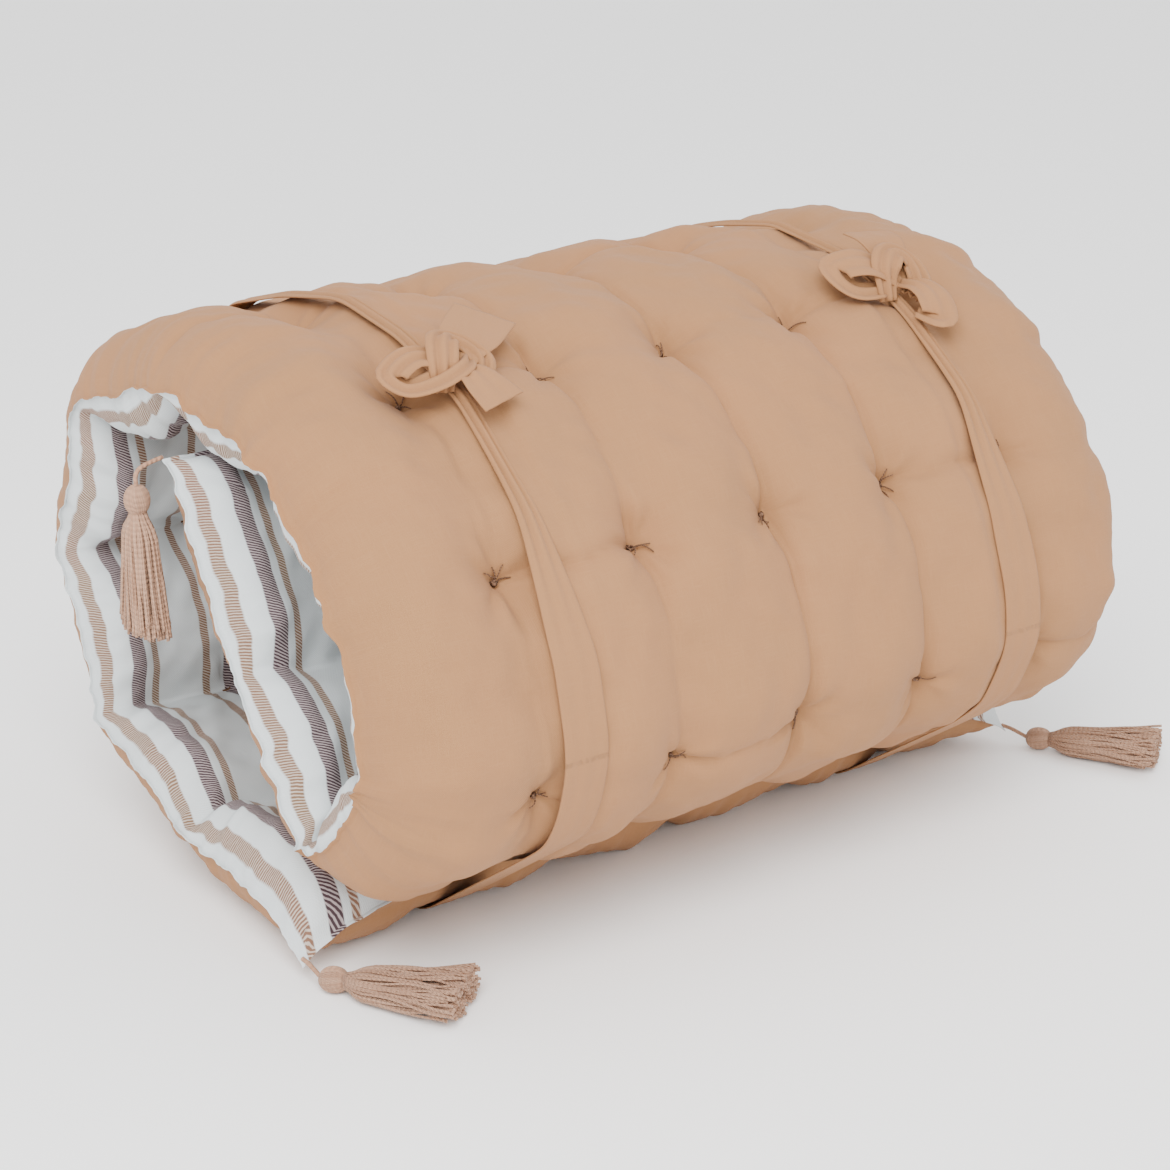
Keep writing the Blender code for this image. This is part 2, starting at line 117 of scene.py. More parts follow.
def roll_up(x, s, h):
    """Flat to rolled: near a hinge V, (1-w)(V + t d + h n) + w(V + t d' + h n').

    d, n and d', n' are the directions of the spans before and after it, t = s - s(V), and w is
    the smooth step from the middle of one span to the middle of the next.
    """
    row = nearest_row(s)
    t = s - FOLD_S[row]
    w = smooth((s - MIDDLES[row]) / (MIDDLES[row + 1] - MIDDLES[row]))[..., None]
    hinge = POINTS[row + 1]
    before = hinge + t[..., None] * ALONG[row] + h[..., None] * UP[row]
    after = hinge + t[..., None] * ALONG[row + 1] + h[..., None] * UP[row + 1]
    yz = (1 - w) * before + w * after
    return np.concatenate((x[..., None], yz), -1)


def edge_rise(inset, radius):
    """Quarter circle from the sewn edge: sqrt(1 - (1 - e/r)^2), flat over the lip."""
    e = np.clip((inset - LIP) / radius, 0.0, 1.0)
    return np.sqrt(1.0 - (1.0 - e) ** 2)


def flat_pad(x, s, side):
    """Flat layout of one cover: its x and h over the grid, for side +1 striped or -1 plain.

    h = seam lift + side * loft * edges * rows * tufts, less creases, plus pleats that die away
    from the seams and slow lumps.
    """
    plain = side < 0
    row = nearest_row(s)
    t = s - FOLD_S[row]
    inset = HALF - np.abs(x)
    ends = np.minimum(s, TOTAL - s)
    edge = np.minimum(inset, ends)
    rise = edge_rise(inset, 0.058 if plain else 0.036) * edge_rise(ends, 0.050)
    loft = np.full(x.shape, PLAIN_LOFT if plain else STRIPED_LOFT)
    tag = 100 if plain else 200

    # rows: the plain side stays full round the outside, the striped side is pinched
    kept = np.array(FULLNESS)[row] if plain else 0.46
    width = 0.026 if plain else 0.020
    loft *= 1 - (1 - kept) * np.exp(-((t / width) ** 2))

    # the striped side swells along the side seams
    if not plain:
        loft += 0.010 * np.exp(-(((inset - 0.030) / 0.024) ** 2))

    # tufts: a funnel with a soft hollow round it, and short radiating wrinkles
    column = np.clip(np.round(x / COLUMN_PITCH), -2, 2)
    dx = x - column * COLUMN_PITCH
    r = np.hypot(dx, t)
    around = np.arctan2(t, dx)
    own = np.sin(12.9 * row + 78.2 * column)
    funnel = 0.36 * np.exp(-r / 0.010) + 0.24 * np.exp(-((r / 0.036) ** 2))
    if not plain:
        funnel = 0.30 * np.exp(-r / 0.010) + 0.16 * np.exp(-((r / 0.034) ** 2))
    loft *= 1 - funnel
    rays = np.cos(5 * around + 9 * own) + 0.6 * np.cos(8 * around - 5 * own)
    loft += 0.0018 * rays * np.exp(-(((r - 0.018) / 0.015) ** 2))

    # channels along each column, and a sharp crease in the bottom of some of them
    wiggle = 0.0030 * wander(s, column, 0.16, tag + 1)
    hollow = np.exp(-((dx / 0.024) ** 2))
    loft -= (0.0075 if plain else 0.0020) * hollow
    strength = np.clip(0.75 + 0.6 * np.sin(31.7 * np.floor(s / 0.144 + 0.28) + 17.3 * column), 0.15, 1)
    fade = 0.45 + 0.55 * np.cos(math.pi * np.clip(t / 0.16, -0.5, 0.5)) ** 2
    crease = np.exp(-np.abs(dx - wiggle) / 0.0034)
    loft -= (0.0125 if plain else 0.0012) * strength * fade * crease

    # creases across, from tuft to tuft: faint outside, deep in the folds of the striped side
    across = t - 0.0028 * wander(x, row, 0.10, tag + 2)
    faint = np.clip(np.sin(5.1 * row + 2.2 * np.floor(x / COLUMN_PITCH)), 0, 1)
    depth = 0.0060 * faint if plain else 0.0050
    loft -= depth * np.exp(-np.abs(across) / 0.0036)

    # ties press in
    if plain:
        loft -= 0.0034 * smooth((0.031 - np.abs(np.abs(x) - TIE_X)) / 0.010)

    # pleats from the seams, then lumps
    along_edge = np.where(inset < ends, s, x)
    pleat = wander(along_edge, edge * 0.22, 0.017, tag + 3) * 0.0026 * np.exp(-edge / 0.026)
    pleat += wander(along_edge, edge * 0.28, 0.040, tag + 4) * 0.0036 * np.exp(-edge / 0.042)
    lumps = 0.0022 * wander(x, s, 0.085, tag + 5) + 0.0009 * wander(x, s, 0.034, tag + 6)
    height = np.maximum(loft * rise, 0.0006 * (edge > 0)) + (pleat + lumps) * rise

    # the sewn edge itself: lifted towards the striped side, waving, with an ear at each fold
    ear = np.exp(-((t / 0.016) ** 2))
    seam = SEAM_LIFT + 0.0015 * wander(along_edge, side * 0, 0.034, 7) + 0.004 * ear
    seam += 0.0006 * wander(along_edge, side * 0, 0.011, 9)
    corner = np.exp(-np.hypot(inset, s) / 0.050)
    seam = seam * (1 - corner) - 0.028 * corner
    h = seam * np.exp(-edge / 0.026) + side * height
    for tucked, by, spread in TUCKS:
        h = h + by * np.exp(-(((s - FOLD_S[tucked]) / spread) ** 2)) * np.exp(-inset / 0.040)
    pull = -0.0030 + 0.0014 * wander(s, side * 0, 0.036, 8) + 0.0035 * ear
    pull = pull + 0.0005 * wander(s, side * 0, 0.012, 10)
    return x + np.sign(x) * pull * np.exp(-inset / 0.018), h


def mesh_object(name, co, faces, uv=None, uv_name="cloth"):
    """A mesh from points, faces as rows of indices, and a UV for each point."""
    mesh = bpy.data.meshes.new(name)
    mesh.from_pydata(np.asarray(co, float).tolist(), [], np.asarray(faces).tolist())
    if uv is not None:
        layer = mesh.uv_layers.new(name=uv_name)
        index = np.zeros(len(mesh.loops), np.int32)
        mesh.loops.foreach_get("vertex_index", index)
        layer.data.foreach_set("uv", np.asarray(uv, np.float32)[index].ravel())
    mesh.shade_smooth()
    obj = bpy.data.objects.new(name, mesh)
    bpy.context.scene.collection.objects.link(obj)
    return obj


def grid_faces(rows, columns, wrap=False, flip=False):
    """Quads between neighbouring lines of a grid; wrap closes each line on itself."""
    across = columns if wrap else columns - 1
    i, j = np.meshgrid(np.arange(rows - 1), np.arange(across), indexing="ij")
    k = (j + 1) % columns
    quads = np.stack((i * columns + j, i * columns + k, (i + 1) * columns + k, (i + 1) * columns + j), -1)
    quads = quads.reshape(-1, 4)
    return quads[:, ::-1] if flip else quads


# Materials

class Nodes:
    """Short calls that add nodes to one tree and join them."""

    def __init__(self, tree):
        self.tree = tree

    def add(self, kind, inputs=(), **settings):
        node = self.tree.nodes.new(kind)
        for key, value in settings.items():
            setattr(node, key, value)
        for key, value in dict(inputs).items():
            socket = node.inputs[key]
            if isinstance(value, bpy.types.NodeSocket):
                self.tree.links.new(value, socket)
            else:
                socket.default_value = value
        return node

    def math(self, operation, *values, clamp=False):
        node = self.add("ShaderNodeMath", enumerate(values), operation=operation, use_clamp=clamp)
        return node.outputs[0]

    def noise(self, vector, scale, detail=2.0, rough=0.5):
        node = self.add("ShaderNodeTexNoise", {"Vector": vector, "Scale": scale,
                                               "Detail": detail, "Roughness": rough})
        return node.outputs["Fac"]

    def scaled(self, vector, scale):
        node = self.add("ShaderNodeVectorMath", {0: vector, 1: scale}, operation="MULTIPLY")
        return node.outputs[0]

    def mix(self, factor, a, b):
        node = self.add("ShaderNodeMix", {0: factor, 6: a, 7: b}, data_type="RGBA")
        return node.outputs[2]

    def spread(self, value, low, high, to_low=0.0, to_high=1.0):
        node = self.add("ShaderNodeMapRange", {0: value, 1: low, 2: high, 3: to_low, 4: to_high})
        return node.outputs[0]


def weave_group():
    """Plain weave: height of crossing yarns and a slub mask, from cloth metres and a thread pitch."""
    group = bpy.data.node_groups.new("plain_weave", "ShaderNodeTree")
    group.interface.new_socket("Cloth", in_out="INPUT", socket_type="NodeSocketVector")
    group.interface.new_socket("Threads", in_out="INPUT", socket_type="NodeSocketFloat")
    group.interface.new_socket("Height", in_out="OUTPUT", socket_type="NodeSocketFloat")
    group.interface.new_socket("Slub", in_out="OUTPUT", socket_type="NodeSocketFloat")
    n = Nodes(group)
    entry = n.add("NodeGroupInput")
    cloth, threads = entry.outputs[0], entry.outputs[1]
    parts = n.add("ShaderNodeSeparateXYZ", {0: cloth})
    across = n.math("SINE", n.math("MULTIPLY", parts.outputs[0], threads))
    along = n.math("SINE", n.math("MULTIPLY", parts.outputs[1], threads))
    knit = n.math("MULTIPLY", across, along)
    warp = n.noise(n.scaled(cloth, (1500.0, 60.0, 1.0)), 1.0)
    weft = n.noise(n.scaled(cloth, (60.0, 1500.0, 1.0)), 1.0)
    slub = n.math("MAXIMUM", warp, weft)
    height = n.math("ADD", n.math("MULTIPLY", knit, 0.5), slub)
    n.add("NodeGroupOutput", {0: height, 1: slub})
    return group


WEAVE = weave_group()


def finish_material(name, build, roughness, sheen=0.0):
    """A material whose colour, roughness and bump come from build(nodes)."""
    made = bpy.data.materials.new(name)
    made.use_nodes = True
    tree = made.node_tree
    tree.nodes.clear()
    n = Nodes(tree)
    colour, height, depth = build(n)
    bump = n.add("ShaderNodeBump", {"Strength": 1.0, "Distance": depth, "Height": height})
    shader = n.add("ShaderNodeBsdfPrincipled", {"Base Color": colour, "Normal": bump.outputs[0],
                                                "Roughness": roughness, "Sheen Weight": sheen,
                                                "Sheen Roughness": 0.5, "Specular IOR Level": 0.25})
    n.add("ShaderNodeOutputMaterial", {"Surface": shader.outputs[0]})
    return made


def tan_cloth(n):
    cloth = n.add("ShaderNodeUVMap", uv_map="cloth").outputs[0]
    weave = n.add("ShaderNodeGroup", node_tree=WEAVE)
    n.tree.links.new(cloth, weave.inputs[0])
    weave.inputs[1].default_value = 5200.0
    patch = n.noise(cloth, 9.0, 3.0)
    tone = n.mix(n.spread(patch, 0.35, 0.65), (0.335, 0.160, 0.069, 1), (0.315, 0.155, 0.066, 1))
    slubs = n.spread(weave.outputs["Slub"], 0.45, 0.85)
    tone = n.mix(n.math("MULTIPLY", slubs, 0.35), tone, (0.39, 0.208, 0.100, 1))
    return tone, weave.outputs["Height"], 0.00012


STRIPE_PERIOD = 0.0885
STRIPES = ((0.006, 0.013, 0), (0.027, 0.0395, 1), (0.0465, 0.0535, 0))   # from the seam: start, end, wide


def striped_cloth(n):
    """White cloth with thin and wide twill stripes that run along the mattress."""
    cloth = n.add("ShaderNodeUVMap", uv_map="cloth").outputs[0]
    weave = n.add("ShaderNodeGroup", node_tree=WEAVE)
    n.tree.links.new(cloth, weave.inputs[0])
    weave.inputs[1].default_value = 4200.0
    parts = n.add("ShaderNodeSeparateXYZ", {0: cloth})
    x, s = parts.outputs[0], parts.outputs[1]
    place = n.math("MULTIPLY", n.math("FRACT", n.math("DIVIDE", x, STRIPE_PERIOD)), STRIPE_PERIOD)
    masks = {0: None, 1: None}
    soft = 0.0005
    for start, end, wide in STRIPES:
        inside = n.math("MULTIPLY", n.spread(place, start - soft, start + soft),
                        n.spread(place, end - soft, end + soft, 1.0, 0.0))
        masks[wide] = inside if masks[wide] is None else n.math("ADD", masks[wide], inside)
    wobble = n.math("MULTIPLY", n.noise(n.scaled(cloth, (300.0, 300.0, 1.0)), 1.0), 0.0009)
    slant = n.math("ADD", n.math("ADD", n.math("MULTIPLY", x, 0.55), s), wobble)
    line = n.math("SINE", n.math("MULTIPLY", slant, 2 * math.pi / 0.0021))
    twill = n.spread(line, -0.55, 0.15)
    shift = n.spread(n.noise(n.scaled(cloth, (4.0, 9.0, 1.0)), 1.0, 3.0), 0.35, 0.65)
    thin = n.mix(shift, (0.200, 0.098, 0.068, 1), (0.175, 0.108, 0.062, 1))
    thin = n.mix(twill, (0.46, 0.38, 0.32, 1), thin)
    wide = n.mix(twill, (0.36, 0.30, 0.30, 1), (0.052, 0.031, 0.037, 1))
    white = n.mix(n.math("MULTIPLY", weave.outputs["Slub"], 0.5), (0.56, 0.60, 0.61, 1), (0.63, 0.655, 0.66, 1))
    colour = n.mix(masks[1], n.mix(masks[0], white, thin), wide)
    both = n.math("ADD", masks[0], masks[1])
    height = n.math("ADD", weave.outputs["Height"], n.math("MULTIPLY", n.math("MULTIPLY", both, twill), 0.8))
    return colour, height, 0.00016


def yarn_look(n):
    """Twisted yarn: slanting ridges along each strand's UV, a tone that changes from strand to strand, and painted
    shade in the grooves between the ridges.
    """
    strand = n.add("ShaderNodeUVMap", uv_map="strand").outputs[0]
    parts = n.add("ShaderNodeSeparateXYZ", {0: strand})
    turn = n.math("ADD", n.math("MULTIPLY", parts.outputs[0], 1.0), n.math("MULTIPLY", parts.outputs[1], 260.0))
    ridge = n.math("SINE", n.math("MULTIPLY", turn, 2 * math.pi))
    tone = n.noise(n.scaled(strand, (0.37, 14.0, 1.0)), 1.0, 3.0)
    colour = n.mix(n.spread(tone, 0.3, 0.7), (0.36, 0.195, 0.120, 1), (0.49, 0.300, 0.200, 1))
    # painted shade: the colour turns towards a dark brown in the grooves of the twist, where the bump is low
    colour = n.mix(n.spread(ridge, -1.0, 0.2, 0.22, 0.0), colour, (0.20, 0.11, 0.07, 1))
    return colour, ridge, 0.0003


def thread_look(n):
    strand = n.add("ShaderNodeUVMap", uv_map="strand").outputs[0]
    parts = n.add("ShaderNodeSeparateXYZ", {0: strand})
    turn = n.math("ADD", parts.outputs[0], n.math("MULTIPLY", parts.outputs[1], 500.0))
    ridge = n.math("SINE", n.math("MULTIPLY", turn, 2 * math.pi))
    # painted shade: the thread is painted a dark brown, darker than its own light brown, for the shade in and round
    # the tufts; it is darkest in the grooves of its twist and lighter on its ridges, following the bump
    colour = n.mix(n.spread(ridge, -1.0, 1.0), (0.085, 0.042, 0.024, 1), (0.20, 0.11, 0.066, 1))
    return colour, ridge, 0.0002


TAN = finish_material("tan_cotton_cloth", tan_cloth, 0.9, 0.05)
STRIPED = finish_material("striped_cotton_cloth", striped_cloth, 0.9, 0.05)
YARN = finish_material("twisted_yarn", yarn_look, 0.95, 0.1)
THREAD = finish_material("tufting_thread", thread_look, 0.8)


def dress(obj, material, slot, *nodes):
    """Gives a piece its material and hides the CAD nodes it stands for; slot is not used."""
    obj.data.materials.append(material)
    if nodes:
        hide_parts(*nodes)
    return obj


# The pad

def bend(obj, row):
    """Bakes a piece's transform into its mesh, its points being already rolled over the hinges. The mean direction of
    the spans on either side of the row's hinge is worked out and not used.
    """
    mean = ALONG[row] + ALONG[row + 1]
    mean /= np.hypot(*mean)
    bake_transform(obj)


def lines_across():
    even = np.linspace(-HALF, HALF, int(round(2 * HALF / CELL)) + 1)
    near = HALF - np.array([0.0006, 0.0016, 0.0028, 0.0048, 0.0062, 0.0090])
    return np.unique(np.concatenate((even, near, -near)))


def lines_along(first, last):
    even = np.linspace(first, last, int(round((last - first) / CELL)) + 1)
    near = np.array([0.0006, 0.0016, 0.0028, 0.0048, 0.0062, 0.0090])
    extra = [near] if first == 0 else []
    extra += [TOTAL - near] if last == TOTAL else []
    return np.unique(np.concatenate([even] + extra))


def on_floor(co, lowest=0.0004):
    """Keeps points above the floor: what would be under it is pressed flat."""
    co[..., 2] = np.maximum(co[..., 2], lowest)
    return co


def cover_points(x, s, side):
    wide, h = flat_pad(x, s, side)
    return on_floor(roll_up(wide, s, h))


for row in range(ROWS):
    first = 0.0 if row == 0 else MIDDLES[row]
    last = TOTAL if row == ROWS - 1 else MIDDLES[row + 1]
    xs, ss = lines_across(), lines_along(first, last)
    s, x = np.meshgrid(ss, xs, indexing="ij")
    uv = np.stack((x + HALF, s), -1).reshape(-1, 2)
    number = f"{row + 1:02d}"
    members = [f"{row + 1:02d}"] + ([f"{ROWS + 1:02d}"] if row == ROWS - 1 else [])
    for side, name, material, slot in ((1, "striped", STRIPED, "striped_cotton"), (-1, "base", TAN, "tan_cotton")):
        co = cover_points(x, s, side).reshape(-1, 3)
        cover = mesh_object(f"{name}_pad_{number}", co, grid_faces(len(ss), len(xs), flip=side > 0), uv)
        nodes = [f"{name}_cover_{m}" for m in members]
        if side < 0:
            nodes += [f"batting_{m}" for m in members]
        dress(cover, material, slot, *nodes)
        bend(cover, row)


# Tubes: threads, cords and strands

def tubes(name, paths, radii, sides, material, slot, uv_start=0.0):
    """Round strands: a ring of points about each point of each path, and a small cap at each end.

    paths is strands x points x 3 and radii strands x points. A ring lies across the path's
    direction, on two axes made from it and one fixed direction.
    """
    paths = np.asarray(paths, float)
    count, length, _ = paths.shape
    tangent = np.gradient(paths, axis=1)
    tangent /= np.linalg.norm(tangent, axis=-1, keepdims=True) + 1e-12
    mean = np.abs(tangent).mean(axis=1)
    fixed = np.eye(3)[np.argmin(mean, axis=1)][:, None, :]
    first = np.cross(tangent, fixed)
    first /= np.linalg.norm(first, axis=-1, keepdims=True)
    second = np.cross(tangent, first)
    angle = np.arange(sides) * 2 * math.pi / sides
    ring = (np.cos(angle)[:, None] * first[:, :, None, :] + np.sin(angle)[:, None] * second[:, :, None, :])
    co = paths[:, :, None, :] + ring * np.asarray(radii)[:, :, None, None]
    measured = np.concatenate((np.zeros((count, 1)),
                               np.cumsum(np.linalg.norm(np.diff(paths, axis=1), axis=-1), 1)), 1)
    uv = np.zeros(co.shape[:3] + (2,))
    uv[..., 0] = np.arange(count)[:, None, None] * 3 + uv_start + angle / (2 * math.pi)
    uv[..., 1] = measured[:, :, None]
    one = grid_faces(length, sides, wrap=True, flip=True)
    shift = np.arange(count)[:, None, None] * length * sides
    faces = (one[None] + shift).reshape(-1, 4).tolist()
    ends = np.arange(sides)
    for k in range(count):
        base = k * length * sides
        faces.append((base + ends).tolist())
        faces.append((base + (length - 1) * sides + ends[::-1]).tolist())
    obj = mesh_object_lists(name, co.reshape(-1, 3), faces, uv.reshape(-1, 2))
    return dress(obj, material, slot)


def mesh_object_lists(name, co, faces, uv):
    """As mesh_object, for faces of different sizes."""
    mesh = bpy.data.meshes.new(name)
    mesh.from_pydata(co.tolist(), [], faces)
    layer = mesh.uv_layers.new(name="strand")
    index = np.zeros(len(mesh.loops), np.int32)
    mesh.loops.foreach_get("vertex_index", index)
    layer.data.foreach_set("uv", np.asarray(uv, np.float32)[index].ravel())
    mesh.shade_smooth()
    obj = bpy.data.objects.new(name, mesh)
    bpy.context.scene.collection.objects.link(obj)
    return obj


def curve_through(points, count):
    """Smooth path through a few points (Catmull-Rom), resampled to count points."""
    p = np.asarray(points, float)
    p = np.concatenate((2 * p[:1] - p[1:2], p, 2 * p[-1:] - p[-2:-1]))
    u = np.linspace(0, len(p) - 3 - 1e-9, count)
    i = u.astype(int)
    f = (u - i)[:, None]
    a, b, c, d = p[i], p[i + 1], p[i + 2], p[i + 3]
    return 0.5 * (2 * b + (c - a) * f + (2 * a - 5 * b + 4 * c - d) * f ** 2 + (3 * b - a - 3 * c + d) * f ** 3)


def surface_at(x, s, side, lift):
    """Points of a cover, lifted off it along its own normal by lift."""
    step = 0.0015
    here = cover_points(x, s, side)
    dx = cover_points(x + step, s, side) - cover_points(x - step, s, side)
    ds = cover_points(x, s + step, side) - cover_points(x, s - step, side)
    normal = np.cross(dx, ds) * side
    normal /= np.linalg.norm(normal, axis=-1, keepdims=True) + 1e-12
    return here + normal * lift[..., None] if np.ndim(lift) else here + normal * lift


rng = np.random.default_rng(41)
for row in range(ROWS):
    paths, radii = [], []
    for x0 in COLUMNS:
        s0 = FOLD_S[row]
        # a wound knot in the bottom of the tuft
        a = np.linspace(0, 2 * math.pi * 1.6, 26)
        u = x0 + 0.0024 * np.cos(a)
        v = s0 + 0.0024 * np.sin(a)
        paths.append(surface_at(u, v, -1, 0.0014 + 0.0018 * a / a[-1]))
        radii.append(np.full(26, 0.0012))
        # two short thread ends, and a stitch across the tuft
        for turn in rng.uniform(0, 2 * math.pi, 4):
            length = rng.uniform(0.008, 0.014)
            q = np.linspace(0, 1, 26)
            curl = turn + 0.9 * q * rng.uniform(-1, 1)
            u = x0 + length * q * np.cos(curl)
            v = s0 + length * q * np.sin(curl)
            lift = 0.0012 + 0.0030 * np.sin(math.pi * q) * rng.uniform(0.3, 1.0)
            paths.append(surface_at(u, v, -1, lift))
            radii.append(0.00062 * (1 - 0.35 * q))
        q = np.linspace(-1, 1, 26)
        paths.append(surface_at(x0 + 0.0035 * q, s0 + 0.0006 * q, 1, 0.0002 + 0.0012 * (1 - q ** 2)))
        radii.append(np.full(26, 0.0008))
    tuft = tubes(f"tuft_knots_{row + 1:02d}", paths, radii, 6, THREAD, "tufting_thread")
    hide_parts(f"tuft_row_{row + 1:02d}")
    bend(tuft, row)


# Ties

def hull(points):
    """Taut closed line round a set of points in a plane, anticlockwise."""
    ordered = sorted(map(tuple, points))

    def half(sequence):
        chain = []
        for p in sequence:
            while len(chain) > 1 and ((chain[-1][0] - chain[-2][0]) * (p[1] - chain[-2][1])
                                      - (chain[-1][1] - chain[-2][1]) * (p[0] - chain[-2][0])) <= 0:
                chain.pop()
            chain.append(p)
        return chain

    lower, upper = half(ordered), half(reversed(ordered))
    return np.array(lower[:-1] + upper[:-1])


def resample(points, count, closed=True):
    """Equal steps along a line of points."""
    if closed:
        points = np.concatenate((points, points[:1]))
    length = np.concatenate(([0.0], np.cumsum(np.linalg.norm(np.diff(points, axis=0), axis=1))))
    at = np.linspace(0, length[-1], count + 1)[:-1] if closed else np.linspace(0, length[-1], count)
    return np.stack([np.interp(at, length, points[:, i]) for i in range(points.shape[1])], 1), length[-1]


def tie_loop(x):
    """The taut line of a tie at x, with its outward normals and its total length."""
    s = np.linspace(0.0, TOTAL, 1200)
    lines = [cover_points(np.full(s.shape, x + off), s, -1)[:, 1:] for off in (-0.017, 0.0, 0.017)]
    loop, total = resample(hull(np.concatenate(lines)), 420)
    for _ in range(6):
        loop = (np.roll(loop, 1, 0) + 2 * loop + np.roll(loop, -1, 0)) / 4
    tangent = np.roll(loop, -1, 0) - np.roll(loop, 1, 0)
    tangent /= np.linalg.norm(tangent, axis=1, keepdims=True)
    normal = np.stack((tangent[:, 1], -tangent[:, 0]), 1)
    return loop, tangent, normal, total


def band(name, centre, sideways, outward, width, folds, lift, closed=False, v_start=0.0):
    """A cloth band: at share q across, centre + q width sideways + (lift + folds wave(q)) outward.

    folds is the height of the pleats where the band is gathered, so its cloth keeps its width.
    """
    q = np.linspace(-0.5, 0.5, 25)
    wave = 0.5 + 0.5 * np.cos(2 * math.pi * (2.4 * q[None, :] + 0.15 * np.sin(np.arange(len(centre)) / 23.0)[:, None]))
    roundness = (1 - (2 * np.abs(q)) ** 3)[None, :]
    co = (centre[:, None] + sideways[:, None] * (q[None, :] * width[:, None])[..., None]
          + outward[:, None] * (lift[:, None] + folds[:, None] * wave * roundness)[..., None])
    rows = len(centre)
    measured = np.concatenate(([0.0], np.cumsum(np.linalg.norm(np.diff(centre, axis=0), axis=1)))) + v_start
    uv = np.stack(np.broadcast_arrays(q[None, :] * 0.04, measured[:, None]), -1).reshape(-1, 2)
    faces = grid_faces(rows, len(q))
    if closed:
        last, columns = (rows - 1) * len(q), len(q)
        j = np.arange(columns - 1)
        faces = np.concatenate((faces, np.stack((last + j, last + j + 1, j + 1, j), -1)))
    obj = mesh_object(name, co.reshape(-1, 3), faces, uv)
    wall = obj.modifiers.new("cloth", "SOLIDIFY")
    wall.thickness = 0.0010
    wall.offset = 0.0
    return dress(obj, TAN, "tan_cotton")


def gone_slack(obj):
    """Attaches a tie piece to the body of the first span, span_01, with a mesh of its own."""
    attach(obj, "span_01")
    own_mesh(obj)


def knot_frame(tag):
    low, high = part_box(f"tie_knot_{tag}")
    return np.array([(a + b) / 2 for a, b in zip(low, high)])


# Each ribbon of a knot: points as (across, along the tie, out), widths and pleats, all in metres
KNOT_RIBBONS = {
    "left": (
        ("loop", ((0.006, 0.000, 0.008), (-0.010, -0.004, 0.018), (-0.028, -0.007, 0.020), (-0.046, 0.000, 0.013),
                  (-0.038, 0.010, 0.008), (-0.018, 0.014, 0.014), (0.002, 0.010, 0.020), (0.012, 0.000, 0.015)),
         (0.018, 0.023, 0.024, 0.022, 0.021, 0.022, 0.021, 0.016), 0.0072),
        ("wrap", ((-0.012, 0.016, 0.004), (-0.010, 0.006, 0.022), (-0.002, -0.010, 0.028), (0.010, -0.018, 0.021),
                  (0.022, -0.012, 0.017), (0.026, 0.002, 0.014), (0.018, 0.016, 0.006)),
         (0.016, 0.022, 0.023, 0.020, 0.019, 0.020, 0.016), 0.0072),
        ("upper_end", ((0.004, 0.004, 0.010), (0.016, -0.008, 0.016), (0.030, -0.022, 0.016), (0.046, -0.036, 0.014),
                       (0.063, -0.050, 0.012)), (0.018, 0.030, 0.043, 0.046, 0.047), 0.0024),
        ("lower_end", ((0.002, 0.004, 0.012), (0.007, 0.018, 0.018), (0.011, 0.032, 0.016), (0.016, 0.048, 0.012)),
         (0.018, 0.026, 0.035, 0.041), 0.0044),
    ),
    "right": (
        ("loop", ((0.008, 0.004, 0.010), (-0.008, -0.007, 0.020), (-0.026, -0.014, 0.024), (-0.044, -0.017, 0.018),
                  (-0.036, 0.000, 0.010), (-0.012, 0.006, 0.008)),
         (0.018, 0.030, 0.034, 0.030, 0.026, 0.018), 0.0080),
        ("wrap", ((-0.010, 0.014, 0.004), (-0.008, -0.002, 0.025), (0.006, -0.013, 0.029), (0.021, -0.006, 0.022),
                  (0.020, 0.012, 0.015), (0.006, 0.018, 0.008)),
         (0.016, 0.024, 0.024, 0.021, 0.020, 0.016), 0.0072),
        ("upper_end", ((0.006, 0.002, 0.012), (0.010, -0.014, 0.020), (0.013, -0.034, 0.024), (0.016, -0.054, 0.018)),
         (0.018, 0.030, 0.040, 0.043), 0.0034),
        ("lower_end", ((0.008, 0.006, 0.012), (0.012, 0.020, 0.019), (0.014, 0.036, 0.018), (0.010, 0.050, 0.011),
                       (0.002, 0.036, 0.006)), (0.018, 0.027, 0.032, 0.028, 0.016), 0.0060),
    ),
}

